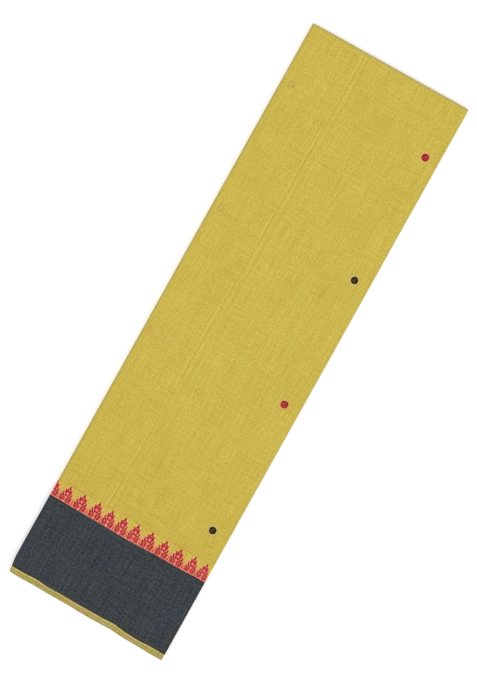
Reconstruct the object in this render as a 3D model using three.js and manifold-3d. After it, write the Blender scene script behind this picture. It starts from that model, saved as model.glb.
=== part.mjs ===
// A cotton saree, halved four times along its length and laid flat, border towards -Y.
// Millimetres. +X runs along the saree's length, +Y across its width, +Z up from the table.
import * as THREE from "three";
import { mergeVertices } from "three/addons/utils/BufferGeometryUtils.js";
import Module from "manifold-3d";

// Driving dimensions
const SAREE_LENGTH = 5500;
const SAREE_WIDTH = 1213;
const HALVINGS = 4;
const PLY_PITCH = 0.8;
const CLOTH_WALL = 1.2;
const SEAM_GAP = 0.3;

const PLIES = 2 ** HALVINGS;
const FOLD_WIDTH = SAREE_LENGTH / PLIES;
const HALF_WIDTH = FOLD_WIDTH / 2;
const HALF_LENGTH = SAREE_WIDTH / 2;
const STACK = PLIES * PLY_PITCH;

// How far the turns of the outer ply bulge, how far its edge is tucked in, and the blunt lower fold
const SPINE_BULGE = 5;
const NEST_BULGE = 3;
const TUCK = 6;
const LOWER_FOLD = { back: 0.6, round: 0.3 };

// The lines across the cloth, with their heights from the table's middle, the drop towards the
// right, and the rise of their soft waves at even steps from left to right
const LINES = {
  hem: { y: -603.5, drop: 6, rise: [0, 0.3, 0.2, 0, 0.4, -0.6, 0] },
  stripe: { y: -591.3, drop: 6.5, rise: [-0.4, 0.3, -0.2, 0, 1.2, -1.7, -0.2] },
  border: { y: -435.2, drop: 2.4, rise: [1.2, 0.8, -0.1, -1.5, 0, -0.3, 0.9] },
  leaves: { y: -400.5, drop: 1, rise: [0, 0, 0, 0, 0, 0, 0] },
  top: { y: HALF_LENGTH, drop: 0, rise: [0, 0, 0, 0, 0, 0, 0] },
};

// Each stretch of the cloth that shows, between two lines, with the steps it is made in
const STRETCHES = [
  { name: "mustard_field", low: "leaves", high: "top", steps: 9, colour: 0xccb64f, roughness: 0.92 },
  { name: "leaf_band", low: "border", high: "leaves", steps: 1, colour: 0xc96a4f, roughness: 0.88 },
  { name: "navy_border", low: "stripe", high: "border", steps: 2, colour: 0x3e4246, roughness: 0.9 },
  { name: "edge_stripe", low: "hem", high: "stripe", steps: 1, colour: 0xb5a463, roughness: 0.9 },
];

// The old crease that runs the whole length: a low ridge that wanders a little
const CREASE = { x: -62, height: 0.5, spread: 3, wander: 1.5, wave: 410 };
const CREASE_STEPS = [-9, -5, -2.5, 0, 2.5, 5, 9];

// Woven dots on the top ply, from the far end to the border
const DOT = { radius: 7.3, rim: 0.35, crown: 1.0, rings: 4, sides: 24 };
const DOTS = [
  { name: "dot_red_1", x: 143.2, y: 485.2, colour: 0xa5273a },
  { name: "dot_black_2", x: 139.4, y: 212.3, colour: 0x2b2523 },
  { name: "dot_red_3", x: 138, y: -62.1, colour: 0xa5273a },
  { name: "dot_black_4", x: 135.6, y: -340.9, colour: 0x2b2523 },
];

// Heights that groups of hidden plies share, and the way the cloth runs through them
const HIDDEN_TOP = STACK - CLOTH_WALL - SEAM_GAP;
const HIDDEN_LOW = CLOTH_WALL + SEAM_GAP;
const MIDDLE = STACK / 2;
const PLY_GROUPS = [
  { first: 2, last: 7, high: HIDDEN_TOP, low: MIDDLE + CLOTH_WALL + SEAM_GAP },
  { first: 8, last: 8, high: MIDDLE + CLOTH_WALL, low: MIDDLE },
  { first: 9, last: 12, high: MIDDLE - SEAM_GAP, low: STACK / 4 },
  { first: 13, last: 15, high: STACK / 4 - SEAM_GAP / 2, low: HIDDEN_LOW },
];
const RUNS = [
  [13, 4, 5, 12, 9, 8],
  [15, 2, 7, 10, 11, 6, 3, 14],
];
// How far the free end of a run of plies stands back from the strip's right edge
const FREE_ENDS = { 8: NEST_BULGE + TUCK + 2 * SEAM_GAP, 13: 4.5, 14: 7.5, 15: 1.4 };

// Single plies at the two ends: how thick, how deep the leaves are cut, how far their roots reach
// into the solid, and how much shorter than the outer ply they are, each by its own amount
const PLY_THICKNESS = 0.32;
const LEAF_DEPTH = 4;
const ROOT = 0.5;
const SHORT = { mean: 1.1, spread: 0.7, perHeight: 2.3, farEndShift: 2 };

// The hidden folds and ends that show at the right, from the top down: how far back each stands
// from the strip's edge, how round its end is, and how it wavers along the strip
const LOBES = [
  { high: HIDDEN_TOP, low: MIDDLE + CLOTH_WALL + SEAM_GAP, back: 1.5, bulge: 1.5, waver: 0, wave: 400 },
  { high: MIDDLE - SEAM_GAP, low: STACK / 4, back: 1.4, bulge: 1.5, waver: 0.5, wave: 330 },
  { high: STACK / 4 - SEAM_GAP / 2, low: 2.4, back: FREE_ENDS[13], bulge: 0, waver: 0.8, wave: 520 },
  { high: 2.15, low: HIDDEN_LOW, back: FREE_ENDS[14], bulge: 0, waver: 1, wave: 260 },
];
const NOTCH_BACK = 12;
const CORE_STEPS = 10;
const ARC_STEPS = 8;
const FLAT_STEPS = 14;

const { Vector2, ShapeUtils } = THREE;
const TURN = Math.PI * 2;
const QUARTER = Math.PI / 2;

// Height of a line at one place across the strip
function lineHeight(line, x) {
  const across = THREE.MathUtils.clamp(x / FOLD_WIDTH + 0.5, 0, 1);
  const last = line.rise.length - 1;
  const at = Math.min(Math.floor(across * last), last - 1);
  const part = THREE.MathUtils.smoothstep(across * last - at, 0, 1);
  const rise = THREE.MathUtils.lerp(line.rise[at], line.rise[at + 1], part);
  return line.y - line.drop * (across - 0.5) + rise;
}

// How far the crease lifts the outer face
function creaseLift(x, y) {
  const middle = CREASE.x + CREASE.wander * Math.sin((TURN * y) / CREASE.wave);
  return CREASE.height * Math.exp(-(((x - middle) / CREASE.spread) ** 2));
}

// Part of an ellipse, both ends included
function arc(centreX, centreZ, across, up, from, to) {
  const points = [];
  for (let step = 0; step <= ARC_STEPS; step++) {
    const angle = from + ((to - from) * step) / ARC_STEPS;
    points.push(new Vector2(centreX + across * Math.cos(angle), centreZ + up * Math.sin(angle)));
  }
  return points;
}

// Places from one end of a flat stretch to the other, both ends left out
function between(from, to, extra = []) {
  const places = [...extra];
  for (let step = 1; step < FLAT_STEPS; step++) {
    const place = from + ((to - from) * step) / FLAT_STEPS;
    if (extra.every((other) => Math.abs(other - place) > CREASE.spread)) places.push(place);
  }
  return places.sort((a, b) => (from > to ? b - a : a - b));
}

// Triangles across a thin outline, whose first point faces its last, its second the last but one
function stripCap(count) {
  const faces = [];
  for (let i = 0; i + 1 < count / 2; i++) {
    const facing = count - 1 - i;
    faces.push([i, i + 1, facing - 1], [i, facing - 1, facing]);
  }
  return faces;
}

// A closed body: one outline in X and Z, carried through rows by place(point, row)
function loft(outline, rows, place, isStrip) {
  const ring = ShapeUtils.isClockWise(outline) ? [...outline].reverse() : outline;
  const count = ring.length;
  const caps = isStrip ? stripCap(count) : ShapeUtils.triangulateShape(ring, []);
  const positions = rows.flatMap((row) => ring.flatMap((point) => place(point, row)));
  const index = [];
  for (let row = 0; row + 1 < rows.length; row++) {
    for (let i = 0; i < count; i++) {
      const a = row * count + i;
      const b = row * count + ((i + 1) % count);
      index.push(a, b + count, b, a, a + count, b + count);
    }
  }
  const last = (rows.length - 1) * count;
  for (const [a, b, c] of caps) {
    index.push(a, b, c, last + a, last + c, last + b);
  }
  const geometry = new THREE.BufferGeometry();
  geometry.setAttribute("position", new THREE.Float32BufferAttribute(positions, 3));
  geometry.setIndex(index);
  return geometry;
}

// The outer ply from its tuck at the right, over the top, round the spine and along the table
function outerPlyOutline() {
  const nestX = HALF_WIDTH - NEST_BULGE;
  const nestZ = MIDDLE + STACK / 4;
  const spineX = -HALF_WIDTH + SPINE_BULGE;
  const endX = HALF_WIDTH - LOWER_FOLD.back;
  const creases = CREASE_STEPS.map((step) => CREASE.x + step);

  const side = (inset) => [
    new Vector2(nestX - TUCK, MIDDLE + inset),
    ...arc(nestX, nestZ, NEST_BULGE - inset, STACK / 4 - inset, -QUARTER, QUARTER),
    ...between(nestX, spineX, creases).map((x) => new Vector2(x, STACK - inset)),
    ...arc(spineX, MIDDLE, SPINE_BULGE - inset, MIDDLE - inset, QUARTER, 3 * QUARTER),
    ...between(spineX, endX - LOWER_FOLD.round).map((x) => new Vector2(x, inset)),
    new Vector2(endX - LOWER_FOLD.round, inset),
  ];
  const fold = [
    new Vector2(endX, LOWER_FOLD.round),
    new Vector2(endX, CLOTH_WALL - LOWER_FOLD.round),
  ];
  return [...side(0), ...fold, ...side(CLOTH_WALL).reverse()];
}

// One stretch of the outer ply, between two lines of the cloth
function stretchGeometry(stretch) {
  const low = LINES[stretch.low];
  const high = LINES[stretch.high];
  const rows = Array.from({ length: stretch.steps + 1 }, (_, step) => step / stretch.steps);
  const lowGap = stretch.low === "hem" ? 0 : SEAM_GAP / 2;
  const highGap = stretch.high === "top" ? 0 : SEAM_GAP / 2;
  return loft(outerPlyOutline(), rows, (point, row) => {
    const from = lineHeight(low, point.x) + lowGap;
    const to = lineHeight(high, point.x) - highGap;
    const y = THREE.MathUtils.lerp(from, to, row);
    const lift = point.y === STACK ? creaseLift(point.x, y) : 0;
    return [point.x, y, point.y + lift];
  }, true);
}

// The middle height of a hidden ply
function plyHeight(ply) {
  const group = PLY_GROUPS.find(({ first, last }) => ply >= first && ply <= last);
  const pitch = (group.high - group.low) / (group.last - group.first + 1);
  return group.high - pitch * (ply - group.first + 0.5);
}

// Where a run of hidden plies starts or ends
function freeEnd(ply) {
  return new Vector2(HALF_WIDTH - FREE_ENDS[ply], plyHeight(ply));
}

// The line that a run of hidden plies takes, turning at the left, then at the right
function runPath(run) {
  const points = [freeEnd(run[0])];
  run.slice(1).forEach((ply, i) => {
    const atLeft = i % 2 === 0;
    const from = plyHeight(run[i]);
    const to = plyHeight(ply);
    const up = (to - from) / 2;
    const bulge = atLeft ? SPINE_BULGE - HIDDEN_LOW : NEST_BULGE - HIDDEN_LOW;
    const room = atLeft ? MIDDLE - HIDDEN_LOW : STACK / 4 - HIDDEN_LOW;
    const across = ((bulge - PLY_THICKNESS / 2) * Math.abs(up)) / room;
    const centreX = atLeft ? -HALF_WIDTH + SPINE_BULGE : HALF_WIDTH - NEST_BULGE;
    const outward = atLeft ? -across : across;
    points.push(...arc(centreX, (from + to) / 2, outward, up, -QUARTER, QUARTER));
  });
  points.push(freeEnd(run[run.length - 1]));
  return points;
}

// A run's outline: its line, moved out by half the cloth's thickness on both sides
function runOutline(run) {
  const path = runPath(run);
  const side = (offset) => path.map((point, i) => {
    const before = path[Math.max(i - 1, 0)];
    const after = path[Math.min(i + 1, path.length - 1)];
    const along = after.clone().sub(before).normalize();
    return new Vector2(point.x - along.y * offset, point.y + along.x * offset);
  });
  return [...side(PLY_THICKNESS / 2), ...side(-PLY_THICKNESS / 2).reverse()];
}

// The hidden plies' outline: round at the spine, with the folds and free ends at the right
function coreOutline() {
  const points = [];
  LOBES.forEach((lobe, i) => {
    const middle = (lobe.high + lobe.low) / 2;
    const half = (lobe.high - lobe.low) / 2;
    const centreX = HALF_WIDTH - lobe.back - lobe.bulge;
    if (i > 0) points.push(new Vector2(HALF_WIDTH - NOTCH_BACK, lobe.high));
    if (lobe.bulge > 0) points.push(...arc(centreX, middle, lobe.bulge, half, QUARTER, -QUARTER));
    else points.push(new Vector2(centreX, lobe.high), new Vector2(centreX, lobe.low));
    if (i + 1 < LOBES.length) points.push(new Vector2(HALF_WIDTH - NOTCH_BACK, lobe.low));
  });
  const spineX = -HALF_WIDTH + SPINE_BULGE;
  const bulge = SPINE_BULGE - HIDDEN_LOW;
  points.push(...arc(spineX, MIDDLE, bulge, MIDDLE - HIDDEN_LOW, -QUARTER, -3 * QUARTER));
  return points;
}

// The waver of the fold or free end that a point at the right belongs to, none at the two ends
function lobeWaver(point, y) {
  if (point.x <= HALF_WIDTH - NOTCH_BACK) return 0;
  const lobe = LOBES.find(({ high, low }) => point.y <= high && point.y >= low);
  const fade = Math.cos((Math.PI * y) / SAREE_WIDTH);
  return lobe ? lobe.waver * fade * (Math.sin((TURN * y) / lobe.wave) - 1) : 0;
}

// Where the hidden plies end: a little short of the outer ply, each by its own amount
function hiddenEnd(point, atHem) {
  const phase = point.y * SHORT.perHeight + (atHem ? 0 : SHORT.farEndShift);
  const short = SHORT.mean + SHORT.spread * Math.sin(phase);
  return atHem ? lineHeight(LINES.hem, point.x) + short : lineHeight(LINES.top, point.x) - short;
}

// Shared vertices merged, so that the body can be joined to another
function solid(wasm, geometry) {
  const merged = mergeVertices(geometry, 1e-4);
  return new wasm.Manifold(new wasm.Mesh({
    numProp: 3,
    vertProperties: merged.attributes.position.array,
    triVerts: Uint32Array.from(merged.index.array),
  }));
}

// The hidden plies: one rounded body whose two ends are leaved into single plies
function innerPliesGeometry(wasm) {
  const rows = Array.from({ length: CORE_STEPS + 1 }, (_, step) => step / CORE_STEPS);
  let body = solid(wasm, loft(coreOutline(), rows, (point, row) => {
    const from = lineHeight(LINES.hem, point.x) + LEAF_DEPTH;
    const to = lineHeight(LINES.top, point.x) - LEAF_DEPTH;
    const y = THREE.MathUtils.lerp(from, to, row);
    return [point.x + lobeWaver(point, y), y, point.y];
  }, false));
  for (const atHem of [true, false]) {
    const inwards = atHem ? 1 : -1;
    const line = atHem ? LINES.hem : LINES.top;
    for (const run of RUNS) {
      const ends = atHem ? [0, 1] : [1, 0];
      const leaves = loft(runOutline(run), ends, (point, depth) => {
        const root = lineHeight(line, point.x) + inwards * (LEAF_DEPTH + ROOT);
        return [point.x, depth === 0 ? hiddenEnd(point, atHem) : root, point.y];
      }, true);
      body = body.add(solid(wasm, leaves));
    }
  }
  const mesh = body.getMesh();
  const geometry = new THREE.BufferGeometry();
  geometry.setAttribute("position", new THREE.Float32BufferAttribute(mesh.vertProperties, 3));
  geometry.setIndex(Array.from(mesh.triVerts));
  return geometry;
}

// A dot of raised thread: an upright rim under a low dome
function dotGeometry() {
  const profile = [new Vector2(0, 0)];
  for (let step = 0; step <= DOT.rings; step++) {
    const angle = (QUARTER * step) / DOT.rings;
    const dome = DOT.rim + (DOT.crown - DOT.rim) * Math.sin(angle);
    profile.push(new Vector2(DOT.radius * Math.cos(angle), dome));
  }
  profile.splice(1, 0, new Vector2(DOT.radius, 0));
  profile[profile.length - 1].x = 0;
  const geometry = new THREE.LatheGeometry(profile, DOT.sides);
  geometry.rotateX(Math.PI / 2);
  return geometry;
}

function addPiece(group, name, geometry, colour, roughness) {
  const material = new THREE.MeshStandardMaterial({ color: colour, roughness, metalness: 0 });
  const mesh = new THREE.Mesh(geometry, material);
  mesh.name = name;
  group.add(mesh);
  return mesh;
}

const wasm = await Module();
wasm.setup();

const saree = new THREE.Group();
saree.name = "folded_saree";
for (const stretch of STRETCHES) {
  addPiece(saree, stretch.name, stretchGeometry(stretch), stretch.colour, stretch.roughness);
}
addPiece(saree, "inner_plies", innerPliesGeometry(wasm), 0xc4ad4c, 0.92);
for (const { name, x, y, colour } of DOTS) {
  const dot = addPiece(saree, name, dotGeometry(), colour, 0.7);
  dot.position.set(x, y, STACK + creaseLift(x, y) + SEAM_GAP);
}

export default saree;
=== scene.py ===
"""A cotton saree, folded flat: mustard field, woven dots, a leaf band, a dark border and a stripe.

Metres. +X runs along the saree's own length, +Y across its width, away from the border.
"""

import math
from collections import namedtuple

import bpy
import numpy as np
from bpy.props import FloatProperty, FloatVectorProperty, IntProperty, PointerProperty
from bpy.types import Operator, Panel, PropertyGroup
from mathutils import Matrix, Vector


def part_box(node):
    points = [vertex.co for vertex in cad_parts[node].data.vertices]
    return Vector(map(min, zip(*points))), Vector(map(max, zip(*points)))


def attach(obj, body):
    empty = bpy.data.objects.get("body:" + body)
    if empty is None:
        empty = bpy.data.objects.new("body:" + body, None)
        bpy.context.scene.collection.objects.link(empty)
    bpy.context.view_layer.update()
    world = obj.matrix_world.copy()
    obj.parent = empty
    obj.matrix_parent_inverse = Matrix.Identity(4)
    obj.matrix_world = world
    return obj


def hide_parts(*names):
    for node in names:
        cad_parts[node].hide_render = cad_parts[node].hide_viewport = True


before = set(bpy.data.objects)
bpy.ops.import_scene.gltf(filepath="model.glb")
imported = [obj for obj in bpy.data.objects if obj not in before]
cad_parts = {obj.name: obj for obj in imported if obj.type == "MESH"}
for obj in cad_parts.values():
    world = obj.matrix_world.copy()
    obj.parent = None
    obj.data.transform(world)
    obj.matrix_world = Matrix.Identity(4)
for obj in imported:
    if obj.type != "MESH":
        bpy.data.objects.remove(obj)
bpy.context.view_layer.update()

bl_info = {
    "name": "Folded cotton saree",
    "version": (1, 0, 0),
    "blender": (4, 5, 0),
    "location": "View3D > Sidebar > Saree",
    "description": "Makes a folded cotton saree with a leaf band, a dark border and woven dots",
    "category": "Object",
}

MM = 0.001
UV_WEAVE = "Weave"
UV_BAKE = "OFBake"
# The bake map's parts: the outer side lies below the first, the hidden side above the second
BAKE_OUTER, BAKE_HIDDEN = 0.93, 0.95

HALF_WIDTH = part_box("mustard_field")[1][0]
HALF_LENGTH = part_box("mustard_field")[1][1]
DOT_NODES = ("dot_red_1", "dot_black_2", "dot_red_3", "dot_black_4")

# The spine's middle line, in millimetres: how far it bulges, and half its height
SPINE_REACH = 4.82
SPINE_RISE = 6.22
SPINE_TURN = 9  # its number among the turns, past those of the nests at the right

# The lines across the cloth, in millimetres: the height from the middle, the drop towards the
# right, how far the line is drawn up where the cloth turns round the spine, and the rise of the
# soft waves at even steps from left to right
LINES = {
    "hem": {"y": -603.5, "drop": 6, "corner": 0.8,
            "rise": (0, 0.1, 0.8, 0.4, 0.8, 0.6, 0.1, 0.6, 1.4, -0.4, -0.4, -1.0, -0.8)},
    "stripe": {"y": -591.3, "drop": 6.5, "corner": 0,
               "rise": (-0.4, -0.5, 1.1, -0.9, 0, -0.5, -0.1, 0.4, 1.8, -1.0, -1.9, -0.2, -0.4)},
    "border": {"y": -435.2, "drop": 2.4, "corner": 0, "rise": (1.2, 0.8, -0.1, -1.5, 0, -0.3, 0.9)},
    "leaves": {"y": -400.5, "drop": 1, "corner": 0, "rise": (0, 0)},
    "top": {"y": HALF_LENGTH / MM, "drop": 0, "corner": -0.6, "rise": (0, 0)},
}
LINE_CORNER = 14 * MM  # how far from the spine a line starts to be drawn up

# The right-hand turns of the cloth: the plies that each nest takes in, and in millimetres how far
# its outer fold bulges, stands back from the strip's edge and wavers, and in what waves
Nest = namedtuple("Nest", "first last bulge back waver wave")
NESTS = (Nest(1, 8, 3.0, 0.0, 0.25, 700), Nest(9, 12, 1.3, 1.4, 0.5, 330),
         Nest(15, 16, 0.6, 0.6, 0.4, 450))
FREE_ENDS = {13: 4.5, 14: 7.5}  # how far the saree's two cut ends stand back, in millimetres
# How far from the right-hand edge the outer ply's tucked ends and the inner plies' stop, in metres
OUTER_TUCK = 18 * MM
INNER_TUCK = 18.3 * MM
EASE = 9 * MM  # over how much of the top and the underside their unevenness fades at the turns

# The way the cloth runs through the stack, ply by ply: what is inside, and what is outermost
INNER_RUNS = ((13, 4, 5, 12, 9, 8), (15, 2, 7, 10, 11, 6, 3, 14))
OUTER_RUN = (8, 1, 16, 15)
INNER_TURN_STEPS = 10
OUTER_TURN_STEPS = 16

# Old creases in the outer ply, in millimetres: where each ridge runs, how much it leans to the
# right on its way up, its height and width, how far it wanders and in what waves, and its fading
LEAN = 0.0095
Crease = namedtuple("Crease", "x lean height spread wander wave fade")
LONG_CREASES = (Crease(-63.2, LEAN, 0.36, 1.4, 0.5, 410, 0.35),
                Crease(-54.8, LEAN, 0.30, 1.3, 0.6, 380, 0.6),
                Crease(20.0, 0, 0.12, 2.2, 3.0, 520, 0.9))
UNDER_CREASES = (Crease(47.0, 0, 0.24, 1.4, 0.8, 430, 0.5),
                 Crease(-92.0, 0, 0.16, 1.8, 1.2, 560, 0.8))
CROSS_CREASE = {"y": 377.5, "height": -0.15, "spread": 1.6, "from": -110, "to": 135}
# The long creases' painted light and shade: how far right of the first ridge, half width, lighter
# by, as a painted highlight; below 0 it is painted shade
CREASE_LINES = ((0, 2.6, 0.1), (4.4, 2.6, -0.09), (8.4, 2.6, 0.06), (17.0, 4.0, -0.035),
                (23.5, 4.0, 0.035))
# The spine is drawn in beside the hem, in millimetres
CORNER = {"from": 563, "to": 604, "pull": 3.4, "reach": 18}

# Where the leaves stand along the cloth, in millimetres from the strip's middle: hand-woven, so
# the steps are uneven. Past the spine they go on at the mean step.
LEAF_PLACES = (-171.0, -143.1, -110.4, -78.0, -48.9, -20.1, 7.9, 38.4, 70.2, 102.4, 133.6, 159.0)
LEAF_STEP = 29.9

# Marks on the field, each with its x and y in millimetres and its tint: the next ply's dots
# showing faintly through, stains with their radius, and the dots under the strip
SHOW_THROUGH = ((-150, 483, (0.36, 0.25, 0.12)), (-153, 209, (0.55, 0.19, 0.09)),
                (-160, -64, (0.55, 0.19, 0.09)))
STAINS = ((-45, -30, 4.5, (0.62, 0.38, 0.15)), (15, -59, 4.0, (0.42, 0.30, 0.08)),
          (-118, -60, 6.0, (0.70, 0.52, 0.22)))
UNDER_DOTS = ((-144, 483, "dot_red"), (-146, 209, "dot_black"), (-148, -64, "dot_red"),
              (-150, -343, "dot_black"))


# The settings that a user would change


def length_property(name, description, value):
    return FloatProperty(name=name, description=description, default=value, unit="LENGTH")


def colour_property(name, description, value):
    return FloatVectorProperty(name=name, description=description, subtype="COLOR", size=3,
                               min=0, max=1, default=value)


class SareeFold(PropertyGroup):
    """Sizes of the folded stack"""
    plies: IntProperty(name="Plies", description="Layers of cloth in the stack", default=16)
    height: length_property("Height", "Height of the stack", 12.8 * MM)
    cloth: length_property("Cloth", "Thickness of one ply", 0.36 * MM)
    spine: length_property("Spine", "Bulge of the folded left edge", 5 * MM)
    thread: length_property("Thread pitch", "From one thread to the next", 0.55 * MM)


class SareeColours(PropertyGroup):
    """Colours of the dyed yarns"""
    field: colour_property("Field", "Mustard ground", (0.598, 0.463, 0.072))
    border: colour_property("Border", "Dark navy grey", (0.041, 0.047, 0.0515))
    stripe: colour_property("Stripe", "Pale khaki at the selvedge", (0.420, 0.360, 0.112))
    leaf: colour_property("Leaf", "Red of the leaves", (0.770, 0.064, 0.072))
    leaf_dark: colour_property("Leaflets", "Dark red leaflets", (0.260, 0.010, 0.010))
    leaf_pale: colour_property("Leaf veins", "Pink floats", (1.000, 0.400, 0.300))
    leaf_edge: colour_property("Leaf edge", "Peach where red meets mustard", (0.920, 0.430, 0.190))
    dot_red: colour_property("Red dots", "Red thread of the dots", (0.450, 0.022, 0.018))
    dot_black: colour_property("Black dots", "Black thread of the dots", (0.036, 0.024, 0.006))


class SareeStage(PropertyGroup):
    """The camera's place over the strip"""
    turn: FloatProperty(name="Turn", description="How far the strip lies turned in the picture",
                        default=math.radians(29.16), subtype="ANGLE")
    framed: length_property("Framed", "Height of the picture on the cloth", 1.3105)
    lens: FloatProperty(name="Lens", description="Focal length in millimetres", default=120)
    aside: FloatVectorProperty(name="Aside", description="Middle of the picture on the cloth",
                               size=2, default=(0.75 * MM, 2.6 * MM))



# The looks: tints beside the dyed yarns' own colours, painted light and shade among them, as red,
# green and blue

TINTS = {
    "mustard edge shade": (0.470, 0.405, 0.150),
    "mustard by the leaves": (0.66, 0.40, 0.085),
    "leaf tips": (0.55, 0.22, 0.07),
    "bluer navy": (0.037, 0.047, 0.060),
    "pale fleck": (0.13, 0.14, 0.15),
    "navy by the stripe": (0.066, 0.056, 0.016),
    "navy by the leaves": (0.090, 0.040, 0.042),
    "border's edge shadow": (0.006, 0.005, 0.004),
    "navy edge shade": (0.012, 0.012, 0.013),
    "warmer khaki": (0.52, 0.33, 0.115),
    "greener khaki": (0.41, 0.38, 0.075),
    "khaki highlight": (0.68, 0.60, 0.34),
    "dark khaki": (0.22, 0.175, 0.05),
    "khaki crease shade": (0.25, 0.19, 0.05),
    "khaki corner": (0.42, 0.33, 0.15),
    "khaki spot": (0.26, 0.22, 0.05),
    "leaf foot, dark": (0.30, 0.085, 0.085),
    "leaf foot, pale": (0.74, 0.36, 0.31),
    "halo of dot_red": (0.76, 0.36, 0.133),
    "halo of dot_black": (0.60, 0.475, 0.158),
}
# The dots' thread: its name, its lighter flecks, which are painted highlights, and its darker rim,
# which is painted shade
DOT_THREADS = {
    "dot_red": ("Red thread", (0.64, 0.130, 0.110), (0.150, 0.006, 0.003)),
    "dot_black": ("Black thread", (0.125, 0.095, 0.045), (0.010, 0.006, 0.0)),
}
WARMER = (1.02, 0.93, 0.9)  # the mustard's more orange patches, as shares of its own colour
# How far red, green and blue go with a lighter yarn: a light mustard one is nearer to white
MUSTARD_REACH = (0.84, 1.04, 2.6)
NAVY_REACH = (1.0, 1.0, 1.12)
# How deep the relief of each cloth goes, in metres
DEPTHS = {"field": 0.11 * MM, "border": 0.12 * MM, "stripe": 0.11 * MM, "leaves": 0.12 * MM,
          "inner": 0.1 * MM, "thread": 0.06 * MM}


def math_node(operation):
    """A method that adds a Math node of this kind"""
    def method(self, *others):
        return self.maths(operation, *others)

    return method


class Value:
    """A number that varies over a surface: Python's operators on it add Math nodes."""

    def __init__(self, look, socket):
        self.look = look
        self.socket = socket

    def maths(self, operation, *others):
        node = self.look.tree.nodes.new("ShaderNodeMath")
        node.operation = operation
        for slot, value in zip(node.inputs, (self, *others)):
            self.look.feed(slot, value)
        return Value(self.look, node.outputs[0])

    __add__ = __radd__ = math_node("ADD")
    __sub__ = math_node("SUBTRACT")
    __mul__ = __rmul__ = math_node("MULTIPLY")
    __truediv__ = math_node("DIVIDE")
    __abs__ = math_node("ABSOLUTE")
    least = math_node("MINIMUM")
    most = math_node("MAXIMUM")
    sin = math_node("SINE")
    root = math_node("SQRT")
    fraction = math_node("FRACT")

    def __neg__(self):
        return self * -1.0

    def __rsub__(self, other):
        return -self + other

    def between(self, low, high):
        """0 at low, 1 at high, smooth between them and level past them"""
        node = self.look.node("ShaderNodeMapRange", {
            "Value": self, "From Min": low, "From Max": high}, interpolation_type="SMOOTHSTEP")
        return Value(self.look, node.outputs[0])

    def ridge(self, middle, spread):
        """1 at the middle, and smoothly 0 from spread away"""
        return 1 - abs(self - middle).between(0, spread)


class Look:
    """A material's node tree under construction. colour is what it has come to so far."""

    def __init__(self, name, roughness, colour, shine=0.25, on_object=False):
        self.material = bpy.data.materials.new(name)
        self.material.use_nodes = True
        self.tree = self.material.node_tree
        self.shader = self.tree.nodes["Principled BSDF"]
        self.shader.inputs["Roughness"].default_value = roughness
        self.shader.inputs["Specular IOR Level"].default_value = shine
        self.colour = colour
        if on_object:
            self.weave = self.node("ShaderNodeTexCoord", {}).outputs["Object"]
        else:
            self.weave = self.node("ShaderNodeUVMap", {}, uv_map=UV_WEAVE).outputs[0]
        parts = self.node("ShaderNodeSeparateXYZ", {"Vector": self.weave})
        self.u = Value(self, parts.outputs[0])
        self.v = Value(self, parts.outputs[1])

    def feed(self, slot, value):
        if isinstance(value, Value):
            self.tree.links.new(value.socket, slot)
        elif isinstance(value, bpy.types.NodeSocket):
            self.tree.links.new(value, slot)
        elif slot.type == "RGBA":
            slot.default_value = (*value, 1.0)
        else:
            slot.default_value = value

    def node(self, kind, sockets, **settings):
        node = self.tree.nodes.new(kind)
        for key, value in settings.items():
            setattr(node, key, value)
        for key, value in sockets.items():
            self.feed(node.inputs[key], value)
        return node

    def attribute(self, name, output):
        return self.node("ShaderNodeAttribute", {}, attribute_name=name).outputs[output]

    def past(self, line, low, high):
        """0 to 1 from low to high millimetres past a line across the cloth"""
        return self.v.between(line + low * MM, line + high * MM)

    def noise(self, across, along, detail=2.0, shift=0.0):
        """Smooth noise, about -0.5 to 0.5, with so many waves a metre across and along the cloth"""
        place = self.node("ShaderNodeVectorMath", {
            0: self.weave, 1: (across, along, 1.0), 2: (shift, shift * 0.7, shift)},
            operation="MULTIPLY_ADD")
        texture = self.node("ShaderNodeTexNoise", {
            "Vector": place.outputs[0], "Scale": 1.0, "Detail": detail}, noise_dimensions="2D")
        return Value(self, texture.outputs[0]) - 0.5

    def mix(self, amount, first, second):
        node = self.node("ShaderNodeMix", {0: amount, 6: first, 7: second}, data_type="RGBA")
        return node.outputs[2]

    def over(self, amount, colour):
        """Lays a colour over what is there, as far as the amount says"""
        self.colour = self.mix(amount, self.colour, colour)

    def shade(self, amount, reach):
        """Makes the colour lighter or darker by a number. reach: how far each of its three goes"""
        each = self.node("ShaderNodeCombineXYZ", {
            i: 1 + (amount - 1) * part for i, part in enumerate(reach)})
        node = self.node("ShaderNodeVectorMath", {0: self.colour, 1: each.outputs[0]},
                         operation="MULTIPLY")
        self.colour = node.outputs[0]

    def finish(self, height, depth):
        """The colour and a relief, so many metres deep, go to the shader"""
        self.feed(self.shader.inputs["Base Color"], self.colour)
        bump = self.node("ShaderNodeBump", {"Height": height, "Distance": depth, "Strength": 1.0})
        self.feed(self.shader.inputs["Normal"], bump.outputs[0])
        return self.material


def plain_weave(look, pitch):
    """Height of a plain weave's threads, over and under, from 0 to 1"""
    turn = math.pi / pitch
    crossing = (look.u * turn).sin() * (look.v * turn).sin()
    across = abs((look.u * (turn / 2)).sin())
    return crossing * 0.35 + across * 0.3 + 0.35


def slubs(look, strength):
    """Lighter and darker yarns: short thick places both ways of the cloth, from hand spinning"""
    warp = look.noise(18, 300, detail=1.0, shift=3.1)
    weft = look.noise(330, 14, detail=1.0, shift=8.4)
    grain = look.noise(290, 290, detail=3.0, shift=1.7)
    cloud = look.noise(14, 10, detail=3.0, shift=5.2)
    total = warp * 0.4 + weft * 0.55 + grain * 1.3 + cloud * 0.16
    return (1 + total * strength).most(0.15)


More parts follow.
